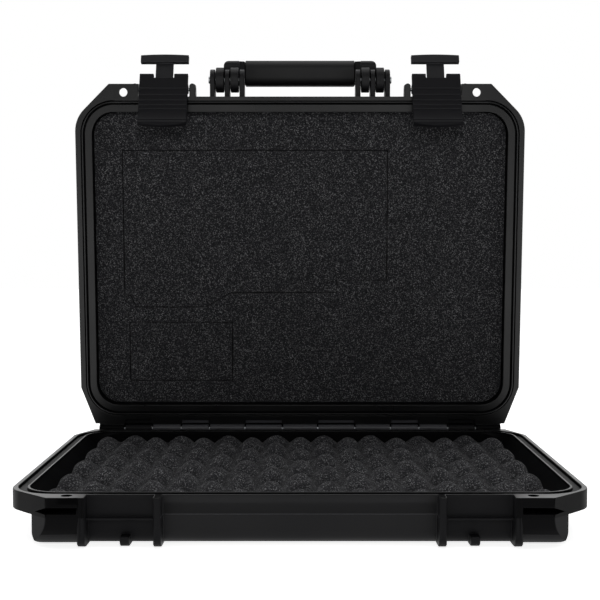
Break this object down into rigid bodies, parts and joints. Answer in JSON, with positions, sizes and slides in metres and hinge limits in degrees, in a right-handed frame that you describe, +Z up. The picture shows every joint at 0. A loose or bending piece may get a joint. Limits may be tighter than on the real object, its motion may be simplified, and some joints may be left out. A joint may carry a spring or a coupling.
{
  "type": "hard utility case",
  "caption": "Open moulded hard case for microphones: shallow lid with egg-crate foam, deep base with cut foam, folding handle, draw latches and padlock tabs.",
  "frame": {"origin": "middle of the open case's footprint, on the surface on which the lid half lies", "axes": "+X to the right seen from the front, along the hinge; -Y towards the front edge of the lying lid; +Z up"},
  "size_m": [0.51, 0.4923, 0.4754],
  "materials": {
    "case_plastic": "fine moulded texture, black polypropylene",
    "latch_plastic": "satin black nylon",
    "handle_plastic": "satin black nylon",
    "grip_rubber": "smooth satin over-moulded rubber",
    "gasket_rubber": "smooth sealing rubber",
    "foam": "open-cell polyether foam with fine pale specks",
    "pin_steel": "drawn steel rod",
    "valve_plastic": "moulded black plastic"
  },
  "bodies": {
    "lid": {"lid_shell": "case_plastic", "lid_gasket": "gasket_rubber", "lid_foam": "foam"},
    "base": {"base_shell": "case_plastic", "hinge_pin": "pin_steel", "base_foam_frame": "foam", "foam_block_large": "foam", "foam_block_small": "foam", "base_foam_pad": "foam", "valve_body": "valve_plastic", "valve_nut": "valve_plastic", "handle_pin_left": "pin_steel", "handle_pin_right": "pin_steel", "latch_pin_left": "pin_steel", "latch_pin_right": "pin_steel"},
    "handle": {"handle_core": "handle_plastic", "handle_grip": "grip_rubber"},
    "latch_left": {"latch_body_left": "latch_plastic"},
    "latch_right": {"latch_body_right": "latch_plastic"},
    "trigger_left": {"trigger_left": "latch_plastic"},
    "trigger_right": {"trigger_right": "latch_plastic"}
  },
  "joints": [
    {"name": "hinge", "type": "hinge", "parent": "lid", "child": "base", "pos_m": [0, 0.15144, 0.044], "axis": [1, 0, 0], "range_deg": [0, 85]},
    {"name": "handle_fold", "type": "hinge", "parent": "base", "child": "handle", "pos_m": [0, 0.1388, 0.44663], "axis": [1, 0, 0], "range_deg": [0, 90]},
    {"name": "latch_fold_left", "type": "hinge", "parent": "base", "child": "latch_left", "pos_m": [-0.154, 0.12633, 0.4343], "axis": [-1, 0, 0], "range_deg": [0, 62]},
    {"name": "latch_fold_right", "type": "hinge", "parent": "base", "child": "latch_right", "pos_m": [0.154, 0.12633, 0.4343], "axis": [-1, 0, 0], "range_deg": [0, 62]},
    {"name": "trigger_swing_left", "type": "hinge", "parent": "latch_left", "child": "trigger_left", "pos_m": [-0.154, 0.12633, 0.4343], "axis": [1, 0, 0], "range_deg": [0, 7]},
    {"name": "trigger_swing_right", "type": "hinge", "parent": "latch_right", "child": "trigger_right", "pos_m": [0.154, 0.12633, 0.4343], "axis": [1, 0, 0], "range_deg": [0, 7]}
  ],
  "couplings": [
    {"joint": "latch_fold_left", "follows": "hinge", "ratio": 0.7294},
    {"joint": "latch_fold_right", "follows": "hinge", "ratio": 0.7294}
  ]
}
